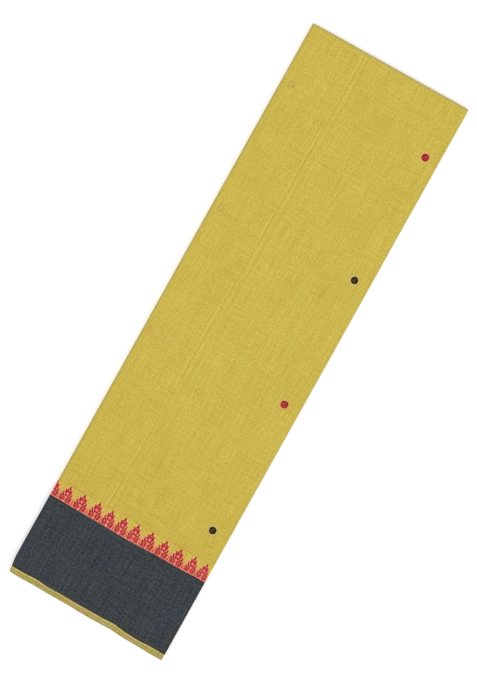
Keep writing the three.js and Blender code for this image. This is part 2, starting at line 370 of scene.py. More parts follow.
def crease_light_and_shade(look):
    """Painted light and shade of the creases: a painted highlight on each ridge, painted shade
    beside it
    """
    broken = (look.noise(5, 11, shift=2.2) * 2.2 + 0.8).most(0.1).least(1.4)
    hem = LINES["hem"]["y"] * MM
    across = look.u + (look.v + hem) * LEAN
    first = LONG_CREASES[0].x
    tone = 0.0
    for step, reach, lighter in CREASE_LINES:
        tone = tone + across.ridge(-(first + step) * MM, reach * MM) * lighter
    # painted highlight and painted shade beside each of the underside's creases
    for crease in UNDER_CREASES:
        at = under_u(crease.x)
        pale, dark = (look.u.ridge(place, 2.4 * MM) * 0.07 for place in (at, at + 3 * MM))
        tone = tone + pale - dark
    return 1 + tone * broken


def cross_crease_light_and_shade(look):
    """The fold line across the strip: painted shade along it, with a painted highlight on both
    sides
    """
    middle = (CROSS_CREASE["y"] - LINES["hem"]["y"]) * MM
    away = abs(look.v - middle + look.noise(9, 0, shift=4) * MM)
    low, high = -CROSS_CREASE["to"] * MM, -CROSS_CREASE["from"] * MM
    reach = look.u.between(low, low + 30 * MM) * (1 - look.u.between(high - 40 * MM, high))
    line = away.ridge(4.6 * MM, 2.4 * MM) * 0.03 - (1 - away.between(0, 2.4 * MM)) * 0.065
    return 1 + line * reach


def edge_shade(look):
    """Painted shade along the edges where the cloth turns away from the light: at the spine, at the
    right-hand fold and along the free edge at the top
    """
    sides = look.u.ridge(171.5 * MM, 5.2 * MM).most(look.u.ridge(-173.2 * MM, 7.4 * MM))
    return sides.most(look.past(line_v("top"), -7, -1))


def cloth_relief(look, pitch):
    threads = plain_weave(look, pitch)
    yarn = look.noise(60, 700, detail=1.0, shift=6.0) + look.noise(700, 60, detail=1.0, shift=9.0)
    crinkle = look.noise(160, 160, shift=4.4)
    return threads + yarn * 1.6 + crinkle * 1.2


def under_u(x):
    """The weave map's u of a place on the underside, x in millimetres: past the spine and back"""
    turn = math.pi * math.sqrt((SPINE_REACH ** 2 + SPINE_RISE ** 2) / 2)
    return (x + 2 * (HALF_WIDTH / MM - SPINE_REACH) + turn) * MM


def far_from(look, u, y):
    """How far a place on the cloth is from a point of it, u in metres and y in millimetres"""
    du = look.u - u
    dv = look.v - (y - LINES["hem"]["y"]) * MM
    return (du * du + dv * dv).root()


def turned_edge_shade(look):
    """Where the cloth starts to turn down, for the painted shade there: at the top's free edge and
    the right-hand fold
    """
    x = -look.u
    right = x.between(170 * MM, 173 * MM) * (1 - x.between(176 * MM, 180 * MM))
    return look.past(line_v("top"), -3.4, 0).most(right)


def mustard_look(name, roughness, yarn):
    """Mustard cotton, a little more orange in patches"""
    look = Look(name, roughness, yarn)
    patches = look.noise(30, 40, detail=3.0, shift=7.7).between(0.0, 0.35)
    look.over(patches * 0.6, [part * share for part, share in zip(yarn, WARMER)])
    return look


def field_material(colours, fold):
    look = mustard_look("Mustard cotton", 0.9, colours.field)
    for i, (x, y, tint) in enumerate(SHOW_THROUGH):
        away = far_from(look, -x * MM, y) + look.noise(260, 260, shift=i) * (6 * MM)
        ring = away.ridge(5.5 * MM, 3.2 * MM) * (look.noise(180, 180, shift=i + 5) + 0.65)
        look.over(ring * 0.52, tint)
    for i, (x, y, radius, tint) in enumerate(STAINS):
        spread = far_from(look, -x * MM, y) + look.noise(120, 200, shift=i + 9) * (7 * MM)
        look.over((1 - spread.between(0, radius * MM)) * 0.3, tint)
    for node in DOT_NODES:
        low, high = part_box(node)
        x, y = ((low[i] + high[i]) / 2 for i in range(2))
        away = far_from(look, -x, y / MM) + look.noise(420, 420, shift=y * 9) * (2 * MM)
        look.over(away.ridge(8.9 * MM, 3.6 * MM) * 0.95, TINTS["halo of " + slot_of(node)])
    for x, y, slot in UNDER_DOTS:
        spot = 1 - far_from(look, under_u(x), y).between(6.6 * MM, 7.4 * MM)
        look.over(spot, getattr(colours, slot))
    glow = (1 - look.past(LEAF_TOP, 0, 30)) * (look.noise(40, 40, shift=3) + 0.5)
    look.over(glow * 0.35, TINTS["mustard by the leaves"])
    tips = look.v.ridge(LEAF_TOP + 1.6 * MM, 1.5 * MM) * (look.noise(14, 1, shift=3) + 0.5)
    look.over(tips * 0.5, TINTS["leaf tips"])
    # painted shade along the spine, the right-hand fold and the top edge
    look.over(edge_shade(look) * 0.8, TINTS["mustard edge shade"])
    # painted shade: the field darker by up to 3.8% towards the leaf band, a painted fall of the
    # light across the strip
    light_falloff = 0.962 + look.past(LEAF_TOP, 0, 320) * 0.038
    # painted light and shade of the creases and of the cross fold
    tone = slubs(look, 0.42) * crease_light_and_shade(look) * cross_crease_light_and_shade(look) * light_falloff
    # painted shade: 12% darker where the cloth starts to turn down
    look.shade(tone * (1 - turned_edge_shade(look) * 0.12), MUSTARD_REACH)
    return look.finish(cloth_relief(look, fold.thread), DEPTHS["field"])


def border_material(colours, fold):
    look = Look("Navy cotton", 0.92, colours.border)
    patches = look.noise(16, 16, detail=3.0, shift=2.0).between(-0.15, 0.2)
    look.over(patches * 0.7, TINTS["bluer navy"])
    flecks = look.noise(240, 240, shift=6.6).between(0.12, 0.3)
    look.over(flecks * 0.22, TINTS["pale fleck"])
    look.over((1 - look.past(STRIPE_TOP, 1.5, 5.0)) * 0.8, TINTS["navy by the stripe"])
    look.over(look.past(BORDER_TOP, -5.0, -1.5) * 0.6, TINTS["navy by the leaves"])
    # painted shadow: a broken dark line along the border's edge over the stripe, and along its top
    # under the leaf band
    line = (1 - look.past(STRIPE_TOP, 1.7, 2.9)).most(look.past(BORDER_TOP, -3.0, -1.8))
    broken = (look.noise(17, 1, detail=1.0, shift=5.0) * 3 + 0.35).most(0).least(1)
    look.over(line * broken * 0.9, TINTS["border's edge shadow"])
    # painted shade along the spine and the right-hand fold
    look.over(edge_shade(look) * 0.5, TINTS["navy edge shade"])
    # painted light and shade of the creases, twice as strong on the navy
    look.shade(slubs(look, 1.5) * (crease_light_and_shade(look) * 2 - 1), NAVY_REACH)
    return look.finish(cloth_relief(look, fold.thread), DEPTHS["border"])


def stripe_material(colours, fold):
    look = Look("Khaki selvedge", 0.9, colours.stripe)
    warmer = look.noise(40, 30, shift=2.0).between(-0.05, 0.15)
    look.over(warmer * 0.8, TINTS["warmer khaki"])
    greener = look.noise(32, 30, shift=9.0).between(0.02, 0.2)
    look.over(greener * 0.7, TINTS["greener khaki"])
    # painted highlight along the top of the stripe, under the border's painted shadow line
    look.over(look.v.ridge(STRIPE_TOP - 2.0 * MM, 1.8 * MM) * 0.5, TINTS["khaki highlight"])
    weave = look.noise(90, 200, detail=1.0, shift=3.0) + 0.6
    line = look.v.ridge(STRIPE_TOP - 5.2 * MM + look.noise(14, 1, shift=1) * 3 * MM, 1.8 * MM)
    hem = 1 - look.past(0, 0.4, 2.4)
    look.over((line * 0.55).most(hem) * weave, TINTS["dark khaki"])
    # painted shade along small diagonal creases of the stripe
    slope = look.u.between(-40 * MM, 40 * MM) * 3.0 - 0.7
    place = (look.v * slope - look.u) / (17 * MM) + look.noise(22, 22, detail=1.0, shift=6) * 1.4
    crease_shade = place.fraction().ridge(0.5, 0.11) * (look.noise(30, 60, shift=2) * 2 + 0.7).most(0)
    look.over(crease_shade * 0.5, TINTS["khaki crease shade"])
    x = -look.u
    look.over(x.between(160 * MM, 162 * MM) * 0.55, TINTS["khaki corner"])
    spot = x.ridge(159.5 * MM, 2 * MM) * look.past(0, 2, 8)
    look.over(spot * 0.6, TINTS["khaki spot"])
    look.shade(slubs(look, 0.6), MUSTARD_REACH)
    return look.finish(cloth_relief(look, fold.thread), DEPTHS["stripe"])


def leaf_material(colours, fold):
    look = mustard_look("Leaf band cotton", 0.86, colours.field)
    parts = look.node("ShaderNodeSeparateColor", {"Color": look.attribute("leaf", "Color")})
    red, dark, pale = (Value(look, parts.outputs[i]) for i in range(3))
    peach = Value(look, look.attribute("leaf", "Alpha"))
    look.over(peach * 0.85, colours.leaf_edge)
    for part, colour in ((red, colours.leaf), (dark, colours.leaf_dark), (pale, colours.leaf_pale)):
        look.over(part, colour)
    foot = 1 - look.past(BORDER_TOP, 1.0, 2.2)
    dashes = look.noise(260, 1, detail=1.0, shift=2.5).between(-0.2, 0.05)
    dashed = look.mix(dashes, TINTS["leaf foot, dark"], TINTS["leaf foot, pale"])
    look.over(foot * 0.9, dashed)
    floats = abs((look.v * (math.pi / (0.9 * MM))).sin()) * red.most(pale)
    # painted shade: the red up to 12% darker in the grooves between the floats
    look.shade(slubs(look, 0.40) * (1 - (1 - floats) * red * 0.12), MUSTARD_REACH)
    return look.finish(cloth_relief(look, fold.thread) + floats * 2.2, DEPTHS["leaves"])


def inner_material(colours, fold):
    look = mustard_look("Inner plies cotton", 0.92, colours.field)
    place = (look.u / (LEAF_STEP * MM)).fraction() - 0.5
    height = (look.v - BORDER_TOP) / (LEAF_TOP - BORDER_TOP)
    leaf = (0.5 - abs(place) - height * 0.42).between(0, 0.05)
    look.over(leaf * (1 - look.past(LEAF_TOP, -1, 0)), colours.leaf)
    for top, colour in ((BORDER_TOP, colours.border), (STRIPE_TOP, colours.stripe)):
        look.over(1 - look.past(top, -0.3, 0), colour)
    look.shade(slubs(look, 0.40), MUSTARD_REACH)
    return look.finish(cloth_relief(look, fold.thread), DEPTHS["inner"])


def thread_material(name, colour, lighter, darker):
    """Twisted thread on Object coordinates: lighter flecks inside the dot as painted highlights,
    and darker edges as painted shade
    """
    look = Look(name, 0.7, colour, shine=0.02, on_object=True)
    strand = abs((look.u * 3000 + look.v * 2200).sin())
    # painted highlights: lighter flecks over the thread
    sheen_flecks = look.noise(420, 300, shift=2) * 1.6 + strand * 0.25
    look.over(sheen_flecks.between(0.0, 0.5), lighter)
    # painted shade: darker towards the dot's edge, where the floats dive into the cloth
    out = Value(look, look.attribute("out", "Fac"))
    look.over((out + look.noise(300, 300, shift=5) * 0.5).between(0.58, 0.86) * 0.9, darker)
    return look.finish(strand, DEPTHS["thread"])


# The cloth's form


def line_height(name, x):
    """Height of a line across the cloth, in metres, for places x in metres"""
    line = LINES[name]
    across = np.clip(x / (2 * HALF_WIDTH) + 0.5, 0, 1)
    last = len(line["rise"]) - 1
    at = np.minimum(np.floor(across * last).astype(int), last - 1)
    part = smooth(across * last - at, 0, 1)
    rise = np.array(line["rise"])
    soft = rise[at] * (1 - part) + rise[at + 1] * part
    corner = line["corner"] * smooth(-x, HALF_WIDTH - LINE_CORNER, HALF_WIDTH)
    return (line["y"] - line["drop"] * (across - 0.5) + soft + corner) * MM


def line_v(name):
    """The same line's place across the saree's width, from the hem, in metres"""
    return (LINES[name]["y"] - LINES["hem"]["y"]) * MM


STRIPE_TOP = line_v("stripe")
BORDER_TOP = line_v("border")
LEAF_TOP = line_v("leaves")


def ripples(x, y, wave, seed, count=14):
    """Smooth uneven waves, about -1 to 1, of about the given length"""
    draw = np.random.RandomState(seed)
    total = np.zeros(np.broadcast(x, y).shape)
    for _ in range(count):
        way = draw.uniform(0, math.pi)
        length = wave * draw.uniform(0.7, 1.6)
        phase = draw.uniform(0, 2 * math.pi)
        total += np.sin((x * math.cos(way) + y * math.sin(way)) * (2 * math.pi / length) + phase)
    return total / math.sqrt(count) / 1.4


def smooth(value, low, high):
    """0 at low, 1 at high, smooth between them and level past them"""
    part = np.clip((value - low) / (high - low), 0, 1)
    return part * part * (3 - 2 * part)


def ply_height(fold, ply):
    pitch = (fold.height - fold.cloth) / (fold.plies - 1)
    return fold.height - fold.cloth / 2 - pitch * (ply - 1)


def nest_of(ply):
    return next(nest for nest in NESTS if nest.first <= ply <= nest.last)


class ClothPath:
    """The line cloth takes through the stack, seen along Y: x, z, nest, and ply or 0 in a turn"""

    def __init__(self):
        self.points = []

    def flat(self, places, z, ply):
        self.points += [(x, z, 0, ply) for x in places]

    def turn(self, centre, low, high, bulge, steps, nest):
        """Half an ellipse from one height to the other, bulging to the right, or left if minus"""
        middle, half = (low + high) / 2, (high - low) / 2
        for step in range(1, steps):
            angle = -math.pi / 2 + math.pi * step / steps
            x, z = centre + bulge * math.cos(angle), middle + half * math.sin(angle)
            self.points.append((x, z, nest, 0))

    def arrays(self):
        return [np.array(column) for column in zip(*self.points)]

    def lengths(self):
        x, z = self.arrays()[:2]
        return np.concatenate([[0], np.cumsum(np.hypot(np.diff(x), np.diff(z)))])


def flat_places(start, end, step, fine=()):
    """Places from start to end, a step apart, and closer where fine says: (middle, reach, step)"""
    low, high = min(start, end), max(start, end)
    places = [low]
    while places[-1] < high:
        here = step
        for middle, reach, closer in fine:
            if abs(places[-1] - middle) < reach:
                here = min(here, closer)
        places.append(places[-1] + here)
    places[-1] = high
    if len(places) > 2 and high - places[-2] < step / 3:
        places.pop(-2)
    return places if start < end else places[::-1]


def right_turn(fold, ply, other):
    """Centre and bulge of the turn between two plies at the right"""
    nest = nest_of(ply)
    whole = abs(ply_height(fold, nest.first) - ply_height(fold, nest.last))
    share = abs(ply_height(fold, ply) - ply_height(fold, other)) / whole
    bulge = (nest.bulge * MM - fold.cloth / 2) * share
    return HALF_WIDTH - (nest.back + nest.bulge) * MM, bulge


def cloth_path(fold, run, starts_at, ends_at, steps, turn_steps, left_first):
    """The path of a run of plies. steps holds each ply's spacing and its finer stretches."""
    path = ClothPath()
    spine_x = -HALF_WIDTH + fold.spine
    x = starts_at
    for i, ply in enumerate(run):
        z = ply_height(fold, ply)
        goes_left = (i % 2 == 0) == left_first
        if i + 1 == len(run):
            end = ends_at
        elif goes_left:
            end = spine_x
        else:
            end = right_turn(fold, ply, run[i + 1])[0]
        step, fine = steps[ply]
        path.flat(flat_places(x, end, step, fine), z, ply)
        if i + 1 < len(run):
            other = ply_height(fold, run[i + 1])
            if goes_left:
                share = abs(other - z) / (fold.height - fold.cloth)
                bulge = -(fold.spine - fold.cloth / 2) * share
                path.turn(spine_x, z, other, bulge, turn_steps, SPINE_TURN)
                x = spine_x
            else:
                centre, bulge = right_turn(fold, ply, run[i + 1])
                path.turn(centre, z, other, bulge, turn_steps, NESTS.index(nest_of(ply)) + 1)
                x = centre
    return path


def crease_rise(x, y, creases):
    """Height of long creases, all in millimetres"""
    total = np.zeros(np.broadcast(x, y).shape)
    for i, crease in enumerate(creases):
        middle = crease.x + crease.wander * np.sin(2 * math.pi * y / crease.wave + i)
        middle = middle + crease.lean * y
        uneven = 1 - crease.fade * (0.5 + 0.5 * ripples(0 * x, y, 170, 40 + i))
        total += crease.height * uneven * np.exp(-(((x - middle) / crease.spread) ** 2))
    return total


def crease_relief(x, y):
    """Height of the old creases over the outer face, in metres"""
    x, y = x / MM, y / MM
    total = crease_rise(x, y, LONG_CREASES)
    low, high = CROSS_CREASE["from"], CROSS_CREASE["to"]
    reach = smooth(x, low, low + 25) * (1 - smooth(x, high - 25, high))
    middle = CROSS_CREASE["y"] + 0.5 * np.sin(x / 40)
    bell = np.exp(-(((y - middle) / CROSS_CREASE["spread"]) ** 2))
    total += CROSS_CREASE["height"] * reach * bell
    return total * MM


def puckers(x, y):
    """Soft unevenness of the outer face, in metres: broad swells, and a fine crinkle"""
    broad = ripples(x, y, 120 * MM, seed=3) * 0.22 * MM
    ribs = ripples(x * 0.25, y, 38 * MM, seed=5) * 0.05 * MM
    fine = ripples(x, y, 17 * MM, seed=8) * 0.035 * MM
    hem = smooth(-y, 480 * MM, 590 * MM) * (ripples(x, y * 0.3, 60 * MM, seed=11) * 0.16 + 0.1) * MM
    return 0.3 * MM + broad + ribs + fine + hem


def under_relief(x, y):
    """How far the underside stands off the surface, in metres: soft unevenness and old creases"""
    broad = 0.06 + ripples(x, y, 95 * MM, seed=13) * 0.05 + ripples(x, y, 24 * MM, seed=14) * 0.015
    return np.clip(broad, 0, None) * MM + crease_rise(x / MM, y / MM, UNDER_CREASES) * MM


def inner_bow(fold, x, y, z):
    """How far the plies inside rise and fall together, in metres: least beside the outer ply"""
    above = smooth(z, 1.0 * MM, 3.4 * MM)
    below = 1 - np.clip(2 * z / fold.height - 1, 0, 1) ** 6
    return ripples(x, y, 250 * MM, seed=73) * 0.4 * MM * above * below


def end_shortfall(x, z, at_hem):
    """How much shorter than the outer ply the inner plies end, each by its own amount"""
    each = 1.2 + 0.75 * np.sin(z / MM * 2.3 + (0 if at_hem else 2))
    along = 0.45 * ripples(x, z * 40, 90 * MM, 21 if at_hem else 22)
    return (each + along) * MM


def waver(nests, y):
    """How far a fold's edge wanders along the strip, in metres"""
    shift = np.zeros((len(y), len(nests)))
    for i, nest in enumerate(NESTS, start=1):
        wave = nest.waver * MM * (ripples(0 * y, y, nest.wave * MM, 60 + i) - 1)
        shift[:, nests == i] = wave[:, nests == i]
    return shift


def corner_pull(x, y):
    """How far the spine is drawn in beside the hem, in metres"""
    near_hem = smooth(-y, CORNER["from"] * MM, CORNER["to"] * MM)
    near_spine = smooth(-x, HALF_WIDTH - CORNER["reach"] * MM, HALF_WIDTH)
    return CORNER["pull"] * MM * near_hem * near_spine


def select_only(*pieces):
    bpy.ops.object.select_all(action="DESELECT")
    for piece in pieces:
        piece.select_set(True)
    bpy.context.view_layer.objects.active = pieces[0]


def join_parts(parts, name):
    """Joins the parts as one piece"""
    select_only(*parts)
    bpy.ops.object.join()
    piece = bpy.context.object
    piece.name = piece.data.name = name
    return piece


def loop_points(mesh):
    """The number of the point at each corner of each face"""
    points = np.empty(len(mesh.loops), dtype=np.int32)
    mesh.loops.foreach_get("vertex_index", points)
    return points


def lay_sheet(name, path, rows, place, u_origin, v_range):
    """A flat grid of cloth, laid along the path: place(x, z, row) gives each point's place.

    The weave map holds the flat cloth's own places in metres, so that patterns follow the cloth.
    """
    columns = len(path.points)
    bpy.ops.mesh.primitive_grid_add(x_subdivisions=columns - 1, y_subdivisions=len(rows) - 1,
                                    size=1.0, calc_uvs=False)
    piece = bpy.context.object
    piece.name = piece.data.name = name
    mesh = piece.data
    count = columns * len(rows)
    if len(mesh.vertices) != count:
        raise RuntimeError(f"{name}: the grid has {len(mesh.vertices)} points, not {count}")

    x, z = path.arrays()[:2]
    points = place(*np.broadcast_arrays(x, z, np.array(rows)[:, None]))
    mesh.vertices.foreach_set("co", np.stack(points, axis=-1).reshape(-1))

    u = path.lengths() - u_origin
    v = v_range[0] + (v_range[1] - v_range[0]) * np.array(rows)
    share = (u - u[0]) / (u[-1] - u[0])
    corner = loop_points(mesh)
    maps = {
        UV_WEAVE: (np.tile(u, len(rows)), np.repeat(v, columns)),
        UV_BAKE: (np.tile(share, len(rows)), np.repeat(np.array(rows), columns)),
    }
    for key, (across, along) in maps.items():
        layer = mesh.uv_layers.new(name=key)
        layer.uv.foreach_set("vector", np.stack([across[corner], along[corner]], 1).reshape(-1))
    mesh.uv_layers[UV_WEAVE].active_render = True
    mesh.update()
    return piece


def turn_over(piece):
    select_only(piece)
    bpy.ops.object.mode_set(mode="EDIT")
    bpy.ops.mesh.select_all(action="SELECT")
    bpy.ops.mesh.flip_normals()
    bpy.ops.object.mode_set(mode="OBJECT")


def give_thickness(piece, thickness):
    """The sheet becomes a closed thin shell. Its hidden side has a narrow part of the bake map."""
    mesh = piece.data
    faces = len(mesh.polygons)
    shell = piece.modifiers.new("Cloth", "SOLIDIFY")
    shell.thickness = thickness
    shell.offset = 0.0
    shell.use_even_offset = False
    bpy.context.view_layer.objects.active = piece
    bpy.ops.object.modifier_apply(modifier=shell.name)
    layer = mesh.uv_layers[UV_BAKE].uv
    places = np.empty(len(mesh.loops) * 2)
    layer.foreach_get("vector", places)
    places = places.reshape(-1, 2)
    start = np.empty(len(mesh.polygons), dtype=np.int32)
    mesh.polygons.foreach_get("loop_start", start)
    hidden = np.arange(len(mesh.loops)) >= start[faces]
    along = places[:, 1]
    places[:, 1] = np.where(hidden, BAKE_HIDDEN + (1 - BAKE_HIDDEN) * along, BAKE_OUTER * along)
    layer.foreach_set("vector", places.reshape(-1))
    bpy.ops.object.shade_smooth()
    bpy.ops.object.shade_smooth_by_angle(angle=math.radians(50))


def slot_of(dot_node):
    """The material slot of a dot: its name without the number"""
    return dot_node.rsplit("_", 1)[0]


def dress(piece, material, body, replaced):
    piece.data.materials.clear()
    piece.data.materials.append(material)
    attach(piece, body)
    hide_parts(*replaced)


def even_rows(steps, ends=()):
    """Rows from 0 to 1, with extra ones at the given places near both ends"""
    rows = set(round(i / steps, 6) for i in range(steps + 1))
    for place in ends:
        rows |= {place, round(1 - place, 6)}
    return sorted(rows)


def outer_path(fold, top_step, crease_step, under_step):
    """The outer ply's path, with the grid's steps on the top, at the creases and underneath"""
    fine = [(crease.x * MM, 9 * MM, crease_step) for crease in LONG_CREASES[:2]]
    tucked = (6 * MM, ())
    steps = dict(zip(OUTER_RUN, (tucked, (top_step, fine), (under_step, ()), tucked)))
    start = HALF_WIDTH - OUTER_TUCK
    return cloth_path(fold, OUTER_RUN, start, start, steps, OUTER_TURN_STEPS, left_first=False)


def cloth_top(fold, x, y):
    """Height of the outer face of the top ply, in metres, away from its edges"""
    return ply_height(fold, 1) + fold.cloth / 2 + puckers(x, y) + crease_relief(x, y)


def outer_stretch(fold, name, low, high, path, rows):
    """One stretch of the outer ply between two lines of the cloth"""
    xs, _, nest, plies = path.arrays()
    top, under = (plies == ply for ply in (OUTER_RUN[1], OUTER_RUN[2]))
    right = HALF_WIDTH - NESTS[0].bulge * MM
    left = -HALF_WIDTH + fold.spine
    weight = smooth(right - xs, 0, EASE) * smooth(xs - left, 0, EASE)

    def place(x, z, row):
        y = line_height(low, x) * (1 - row) + line_height(high, x) * row
        lift = top * (puckers(x, y) + crease_relief(x, y)) + under * under_relief(x, y)
        return x + waver(nest, y) + corner_pull(x, y), y, z + weight[None, :] * lift

    at_middle = np.interp(0, -xs[top], path.lengths()[top])
    return lay_sheet(name, path, rows, place, at_middle, (line_v(low), line_v(high)))


def declare(path):
    length = float(path.lengths()[-1])


# The leaf motif, worked out from its own sizes in millimetres: up from its base, out from its stem

LEAF_OUTLINE = {
    "up": (0, 3, 7, 11, 15, 19, 23, 26, 29, 31.5, 33.5),
    "half": (11.6, 12.4, 12.9, 12.6, 11.6, 10.0, 8.0, 6.1, 3.9, 2.2, 0.5),
}
# The dark leaflets of one side: out, up, half the length and the width, and the lean in degrees
LEAFLETS = (
    (0.0, 31.0, 2.4, 1.5, 0), (5.9, 22.8, 3.0, 1.2, 14), (9.4, 16.4, 3.3, 1.25, 16),
    (3.9, 20.0, 2.5, 1.4, 30), (3.3, 13.6, 2.6, 1.4, 42), (7.1, 13.6, 2.3, 1.0, 34),
    (11.1, 9.8, 3.2, 1.25, 12), (3.4, 5.0, 2.8, 1.3, 38), (9.6, 3.6, 2.8, 1.2, 40),
)
# The small pale holes in dark rings: out, up, the hole's and the ring's radius
EYES = ((0.0, 26.0, 1.4, 2.9), (7.4, 8.8, 1.2, 2.4))
CHEVRONS = ((9.4, 0.95), (1.2, 0.95), (17.2, 0.8))  # pale veins: where each leaves the stem, slope
HEART = {"up": 18.2, "radius": 1.7}
BUD = {"half": 2.0, "height": 17.0}
LEAF_FOOT = 1.2  # the leaves and the buds start that far over the border


def leaf_parts(x, y):
    """How red, dark, pale and edged with peach a place in the leaf is"""
    side = np.abs(x)
    half = np.interp(y, LEAF_OUTLINE["up"], LEAF_OUTLINE["half"], right=-4)
    inside = smooth(half - 1.1 - side, -0.3, 0.5)
    halo = smooth(half + 3.0 - side, 0, 2.4) * (y > -1)
    pale = np.zeros(x.shape)
    for start, slope in CHEVRONS:
        away = np.abs(y - start - side * slope) / math.hypot(1, slope)
        pale = np.maximum(pale, 1 - smooth(away, 0.6, 1.4))
    stem = 0.8 * (1 - smooth(side, 0.4, 1.2)) * (1 - smooth(y, 6, 9))
    pale = np.maximum(pale, stem)
    dark = np.zeros(x.shape)
    for out, up, length, width, lean in LEAFLETS:
        turn = math.radians(lean)
        dx, dy = side - out, y - up
        along = dx * math.sin(turn) + dy * math.cos(turn)
        across = dx * math.cos(turn) - dy * math.sin(turn)
        body = np.hypot(along / length, across / width)
        here = 1 - smooth(body, 0.75, 1.2)
        dark = np.maximum(dark, here)
        inside = np.maximum(inside, 1 - smooth(body, 1.2, 1.7))
        pale = pale * (1 - here)
    for out, up, hole, ring in EYES:
        away = np.hypot(side - out, y - up)
        near = 1 - smooth(away, ring, ring + 0.8)
        white = 1 - smooth(away, hole * 0.7, hole * 1.3)
        dark = dark * (1 - near) + near * (1 - white)
        pale = pale * (1 - near) + near * white
    heart = 1 - smooth(np.hypot(x, y - HEART["up"]), HEART["radius"] * 0.6, HEART["radius"] * 1.2)
    dark = dark * (1 - heart)
    pale = np.maximum(pale, heart * 0.8)
    return inside, dark * inside, pale * inside, halo * (1 - inside)


def bud_parts(x, y):
    """The small bud between two leaves: an arch of pale thread round a dark heart"""
    side = np.abs(x)
    half = BUD["half"] * (1 - np.clip(y / BUD["height"], 0, 1) ** 1.7)
    low = 1 - smooth(y, BUD["height"] - 5, BUD["height"] + 1)
    red = (1 - smooth(side - half, 0.8, 2.2)) * low
    wall = (1 - smooth(np.abs(side - half), 0.3, 0.8)) * low
    heart = (1 - smooth(side - half, -1.1, -0.6)) * (1 - smooth(y, 10, 13))
    return red, heart, wall


def leaf_chart(u, v):
    """The leaf band's threads at places of the flat cloth, in metres: red, dark, pale, peach"""
    x_all, y = -u / MM, (v - BORDER_TOP) / MM
    places = list(LEAF_PLACES)
    for i in range(1, 15):
        places.append(LEAF_PLACES[0] - LEAF_STEP * i)
        places.append(LEAF_PLACES[-1] + LEAF_STEP * i)
    places = np.array(sorted(places))
    nearest = np.abs(x_all[:, None] - places[None, :]).argmin(axis=1)
    draw = np.random.RandomState(17)
    gaps = np.diff(places)
    room = np.minimum(np.append(gaps, LEAF_STEP), np.append(LEAF_STEP, gaps)) / 2 - 2.2
    fits = room / max(LEAF_OUTLINE["half"])
    wide = np.minimum(draw.uniform(0.93, 1.03, len(places)), fits)[nearest]
    high = draw.uniform(0.96, 1.02, len(places))[nearest]
    lean = draw.uniform(-0.03, 0.03, len(places))[nearest]
    x = (x_all - places[nearest]) / wide + lean * y
    red, dark, pale, halo = leaf_parts(x, (y - LEAF_FOOT) / high)

    buds = (places[1:] + places[:-1]) / 2
    near_bud = np.abs(x_all[:, None] - buds[None, :]).argmin(axis=1)
    bud_red, bud_dark, wall = bud_parts(x_all - buds[near_bud], y - LEAF_FOOT)
    free = 1 - red
    uneven = y + 2.5 * ripples(x_all, 0 * y, 8, seed=33)
    pale = np.maximum(pale, wall * free * 0.3)
    dark = np.maximum(dark, bud_dark * free * 0.75)
    low = np.maximum(bud_red * 0.85, (1 - smooth(uneven, 5, 14)) * 0.85) * (1 - wall)
    red = np.maximum(red, low)
    spill = np.maximum(1 - smooth(uneven, 9, 20), 0.3 * (1 - smooth(y, 14, 33)))
    halo = np.maximum(halo, spill * free)
    return np.stack([red, dark, pale, halo], axis=1)


# The dots: one float of thread, and how far the pad stands in from the rim, how flat it is, how
# high the floats rise over it, how far they dive past their ends and how short the last may be

FLOAT = {"length": 4.6 * MM, "thick": 0.5 * MM, "pitch": 0.86 * MM, "sides": 8, "cuts": 7}
DOT = {"inset": 0.5 * MM, "flatness": 0.045, "rise": 0.3 * MM, "dive": 0.7 * MM, "least": 0.9 * MM}


def make_float():
    """One float of thread: an arched spindle along Y that dives into the cloth at both ends"""
    bpy.ops.mesh.primitive_cylinder_add(vertices=FLOAT["sides"], radius=FLOAT["thick"],
                                        depth=FLOAT["length"], end_fill_type="NGON",
                                        rotation=(math.radians(90), 0, 0))
    piece = bpy.context.object
    bpy.ops.object.transform_apply(location=True, rotation=True, scale=True)
    mesh = piece.data
    for edge in mesh.edges:
        ends = [mesh.vertices[i].co.y for i in edge.vertices]
        edge.select = abs(ends[0] - ends[1]) > FLOAT["length"] / 2
    for element in (*mesh.vertices, *mesh.polygons):
        element.select = False
    bpy.context.tool_settings.mesh_select_mode = (False, True, False)
    bpy.ops.object.mode_set(mode="EDIT")
    bpy.ops.mesh.subdivide(number_cuts=FLOAT["cuts"])
    bpy.ops.object.mode_set(mode="OBJECT")
    bpy.context.tool_settings.mesh_select_mode = (True, False, False)
    for vertex in mesh.vertices:
        along = vertex.co.y / (FLOAT["length"] / 2)
        swell = math.sqrt(max(1 - along ** 2, 0)) * 0.75 + 0.25
        vertex.co.x *= swell * 1.06
        vertex.co.z = vertex.co.z * swell * 0.8 + FLOAT["thick"] * (0.35 - 1.1 * along ** 4)
    return piece


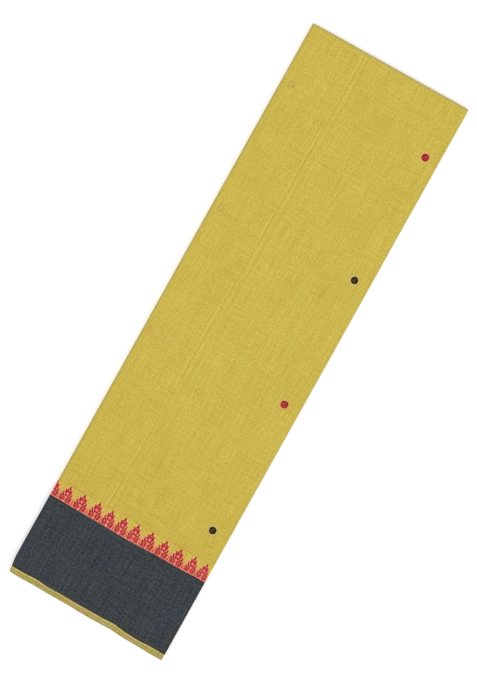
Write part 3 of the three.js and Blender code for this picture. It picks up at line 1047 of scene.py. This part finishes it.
def work_dot(fold, name, middle, radius, float_piece, seed):
    """A round dot: staggered floats side by side over a low domed pad, joined as one piece"""
    def cloth_at(x, y):
        return cloth_top(fold, np.array([x]), np.array([y]))[0]

    draw = np.random.RandomState(90 + seed)
    bpy.ops.mesh.primitive_uv_sphere_add(segments=32, ring_count=12, radius=radius - DOT["inset"])
    pad = bpy.context.object
    for vertex in pad.data.vertices:
        x, y = vertex.co.x + middle[0], vertex.co.y + middle[1]
        vertex.co = (x, y, cloth_at(x, y) + vertex.co.z * DOT["flatness"])
    parts = [pad]
    rows = int(2 * radius / FLOAT["pitch"])
    step = FLOAT["length"] * 0.8
    for row in range(rows):
        across = (row - (rows - 1) / 2) * FLOAT["pitch"]
        reach = math.sqrt(max(radius ** 2 - across ** 2, 0)) + draw.uniform(-0.35, 0.15) * MM
        start = -reach
        first = step * (0.55 + 0.45 * (row % 3) / 2)
        while start < reach - DOT["least"]:
            length = min(first, reach - start)
            first = step
            thread = float_piece.copy()
            thread.data = float_piece.data.copy()
            bpy.context.collection.objects.link(thread)
            centre = (middle[0] + across, middle[1] + start + length / 2)
            top = cloth_at(*centre)
            dome = DOT["rise"] * (1 - (across ** 2 + (start + length / 2) ** 2) / radius ** 2)
            stretch = (length + DOT["dive"]) / FLOAT["length"]
            sideways = draw.uniform(-0.08, 0.08) * MM
            for vertex in thread.data.vertices:
                vertex.co.y *= stretch
                vertex.co.x += centre[0] + sideways
                vertex.co.y += centre[1]
                vertex.co.z += top + dome
            parts.append(thread)
            start += length
    piece = join_parts(parts, name)
    out = piece.data.attributes.new("out", "FLOAT", "POINT")
    for vertex, mark in zip(piece.data.vertices, out.data):
        mark.value = math.hypot(vertex.co.x - middle[0], vertex.co.y - middle[1]) / radius
    bpy.ops.object.shade_smooth()
    return piece


# The operators, one for each piece or group of like pieces

# The outer ply's stretches: the solid that each stands for, its slot, the lines that it lies
# between, the grid's steps on the top, at the creases and underneath in millimetres, and its rows
Stretch = namedtuple("Stretch", "node slot lines steps rows")
STRETCHES = {
    "field_cloth": Stretch("mustard_field", "field", ("leaves", "top"), (3.6, 1.0, 7), 168),
    "leaf_band_cloth": Stretch("leaf_band", "leaf_band", ("border", "leaves"),
                               (0.62, 0.62, 1.6), 52),
    "border_cloth": Stretch("navy_border", "border", ("stripe", "border"), (3.0, 1.0, 14), 50),
    "stripe_cloth": Stretch("edge_stripe", "stripe", ("hem", "stripe"), (2.5, 1.0, 8), 12),
}


def lay_stretch(context, name, make_material, mark=None):
    """One stretch of the outer ply. mark works on its mesh while it is still a single sheet."""
    fold, colours = context.scene.saree_fold, context.scene.saree_colours
    stretch = STRETCHES[name]
    low, high = stretch.lines
    path = outer_path(fold, *(step * MM for step in stretch.steps))
    piece = outer_stretch(fold, name, low, high, path, even_rows(stretch.rows))
    if mark:
        mark(piece.data)
    turn_over(piece)
    give_thickness(piece, fold.cloth)
    dress(piece, make_material(colours, fold), "root", [stretch.node])
    declare(path)
    return {"FINISHED"}


def chart_leaves(mesh):
    """Writes the leaf chart on the points of the leaf band, by their places on the flat cloth"""
    flat = np.empty(len(mesh.loops) * 2)
    mesh.uv_layers[UV_WEAVE].uv.foreach_get("vector", flat)
    place = np.zeros((len(mesh.vertices), 2))
    place[loop_points(mesh)] = flat.reshape(-1, 2)
    chart = mesh.color_attributes.new("leaf", "FLOAT_COLOR", "POINT")
    chart.data.foreach_set("color", leaf_chart(place[:, 0], place[:, 1]).reshape(-1))


class SAREE_OT_field(Operator):
    """Lays the mustard field: over the top, round the spine and along the underside"""
    bl_idname = "saree.field"
    bl_label = "Field"

    def execute(self, context):
        return lay_stretch(context, "field_cloth", field_material)


class SAREE_OT_leaf_band(Operator):
    """Lays the leaf band and charts its leaves on the cloth's points"""
    bl_idname = "saree.leaf_band"
    bl_label = "Leaf band"

    def execute(self, context):
        return lay_stretch(context, "leaf_band_cloth", leaf_material, chart_leaves)


class SAREE_OT_border(Operator):
    """Lays the broad dark border"""
    bl_idname = "saree.border"
    bl_label = "Border"

    def execute(self, context):
        return lay_stretch(context, "border_cloth", border_material)


class SAREE_OT_stripe(Operator):
    """Lays the pale stripe at the selvedge"""
    bl_idname = "saree.stripe"
    bl_label = "Edge stripe"

    def execute(self, context):
        return lay_stretch(context, "stripe_cloth", stripe_material)


# The inner plies' grid: the step along each ply, the closer one by the right-hand turns with its
# middle and its reach, the rows, and the extra rows' places near both ends
INNER_STEP = 45 * MM
INNER_FINE = [(HALF_WIDTH - 8 * MM, 12 * MM, 4 * MM)]
INNER_ROWS = 40
INNER_END_ROWS = (0.002, 0.005, 0.012)
INNER_U = -3.0  # the runs' weave maps start that far apart, in metres


class SAREE_OT_inner(Operator):
    """Lays the fourteen plies inside the fold, as the cloth really runs through it"""
    bl_idname = "saree.inner"
    bl_label = "Inner plies"

    def execute(self, context):
        fold, colours = context.scene.saree_fold, context.scene.saree_colours
        ends = {8: INNER_TUCK, 15: INNER_TUCK}
        ends.update({ply: back * MM for ply, back in FREE_ENDS.items()})
        rows = even_rows(INNER_ROWS, INNER_END_ROWS)
        parts, length = [], 0.0
        for number, run in enumerate(INNER_RUNS):
            path = cloth_path(fold, run, HALF_WIDTH - ends[run[0]], HALF_WIDTH - ends[run[-1]],
                              dict.fromkeys(run, (INNER_STEP, INNER_FINE)), INNER_TURN_STEPS,
                              left_first=True)
            nest = path.arrays()[2]

            def place(x, z, row):
                low = line_height("hem", x) + end_shortfall(x, z, True)
                high = line_height("top", x) - end_shortfall(x, z, False)
                y = low * (1 - row) + high * row
                near_end = smooth(np.abs(y), HALF_LENGTH - 60 * MM, HALF_LENGTH)
                sag = ripples(x, y * 0.5, 70 * MM, seed=71) * (0.05 + 0.1 * near_end) * MM
                own = np.sin(z / MM * 7.1) * 0.05 * MM
                lift = inner_bow(fold, x, y, z) * (1 - 0.6 * near_end) + sag + own
                return x + waver(nest, y) + corner_pull(x, y), y, z + lift

            parts.append(lay_sheet(f"run_{number}", path, rows, place, INNER_U * (number + 1),
                                   (0.0, line_v("top"))))
            length += float(path.lengths()[-1])
        piece = join_parts(parts, "inner_cloth")
        give_thickness(piece, fold.cloth)
        dress(piece, inner_material(colours, fold), "root", ["inner_plies"])
        return {"FINISHED"}


class SAREE_OT_dots(Operator):
    """Works the four dots in rows of raised thread floats on a low pad"""
    bl_idname = "saree.dots"
    bl_label = "Dots"

    def execute(self, context):
        fold, colours = context.scene.saree_fold, context.scene.saree_colours
        looks = {slot: thread_material(name, getattr(colours, slot), lighter, darker)
                 for slot, (name, lighter, darker) in DOT_THREADS.items()}
        float_piece = make_float()
        for number, node in enumerate(DOT_NODES):
            low, high = (np.array(corner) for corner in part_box(node))
            piece = work_dot(fold, node + "_thread", (low + high) / 2, (high[0] - low[0]) / 2,
                             float_piece, number)
            slot = slot_of(node)
            dress(piece, looks[slot], "root", [node])
        bpy.data.objects.remove(float_piece)
        return {"FINISHED"}


# The stage: the floor's size and place, how white its paper is and how much it gives back, and the
# strength of the sky and of one soft sun
STAGE = {"floor": 40, "under": 0.2 * MM, "paper": 0.9, "paper glow": 0.3, "sky": 0.84, "sun": 0.85,
         "sun width": math.radians(28), "sun from": (math.radians(50), 0, math.radians(60)),
         "sensor": 36.0}


class SAREE_OT_stage(Operator):
    """Sets the floor, the light and the camera straight above the strip"""
    bl_idname = "saree.stage"
    bl_label = "Stage"

    def execute(self, context):
        stage = context.scene.saree_stage
        bpy.ops.mesh.primitive_plane_add(size=STAGE["floor"], location=(0, 0, -STAGE["under"]))
        floor = context.object
        floor.name = "floor"
        bpy.ops.object.transform_apply(location=True, rotation=True, scale=True)
        paper = bpy.data.materials.new("White paper")
        paper.use_nodes = True
        shader = paper.node_tree.nodes["Principled BSDF"]
        shader.inputs["Base Color"].default_value = (*[STAGE["paper"]] * 3, 1)
        shader.inputs["Roughness"].default_value = 0.9
        shader.inputs["Emission Color"].default_value = (1, 1, 1, 1)
        shader.inputs["Emission Strength"].default_value = STAGE["paper glow"]
        floor.data.materials.append(paper)

        world = bpy.data.worlds.new("Studio")
        world.use_nodes = True
        sky = world.node_tree.nodes["Background"]
        sky.inputs["Color"].default_value = (1, 1, 1, 1)
        sky.inputs["Strength"].default_value = STAGE["sky"]
        context.scene.world = world
        bpy.ops.object.light_add(type="SUN", rotation=STAGE["sun from"])
        key = context.object
        key.name = "soft_key"
        key.data.energy = STAGE["sun"]
        key.data.angle = STAGE["sun width"]
        context.scene.view_settings.view_transform = "Standard"

        sensor = STAGE["sensor"]
        height = stage.framed / 2 / (sensor / 2 / stage.lens)
        top = context.scene.saree_fold.height
        bpy.ops.object.camera_add(location=(*stage.aside, top + height),
                                  rotation=(0, 0, stage.turn))
        camera = context.object
        camera.name = "camera"
        camera.data.lens = stage.lens
        camera.data.sensor_width = sensor
        camera.data.clip_end = 50
        context.scene.camera = camera
        return {"FINISHED"}


class SAREE_PT_panel(Panel):
    """Lists the steps in order"""
    bl_label = "Folded saree"
    bl_idname = "SAREE_PT_panel"
    bl_space_type = "VIEW_3D"
    bl_region_type = "UI"
    bl_category = "Saree"

    def draw(self, context):
        for step in STEPS:
            self.layout.operator(step.bl_idname)


STEPS = (SAREE_OT_stage, SAREE_OT_field, SAREE_OT_leaf_band, SAREE_OT_border, SAREE_OT_stripe,
         SAREE_OT_inner, SAREE_OT_dots)
SETTINGS = {"saree_fold": SareeFold, "saree_colours": SareeColours, "saree_stage": SareeStage}


def register():
    for kind in (*SETTINGS.values(), *STEPS, SAREE_PT_panel):
        bpy.utils.register_class(kind)
    for name, kind in SETTINGS.items():
        setattr(bpy.types.Scene, name, PointerProperty(type=kind))


def unregister():
    for name in SETTINGS:
        delattr(bpy.types.Scene, name)
    for kind in reversed((*SETTINGS.values(), *STEPS, SAREE_PT_panel)):
        bpy.utils.unregister_class(kind)


def main():
    register()
    for step in STEPS:
        group, name = step.bl_idname.split(".")
        getattr(getattr(bpy.ops, group), name)()


if __name__ == "__main__":
    main()
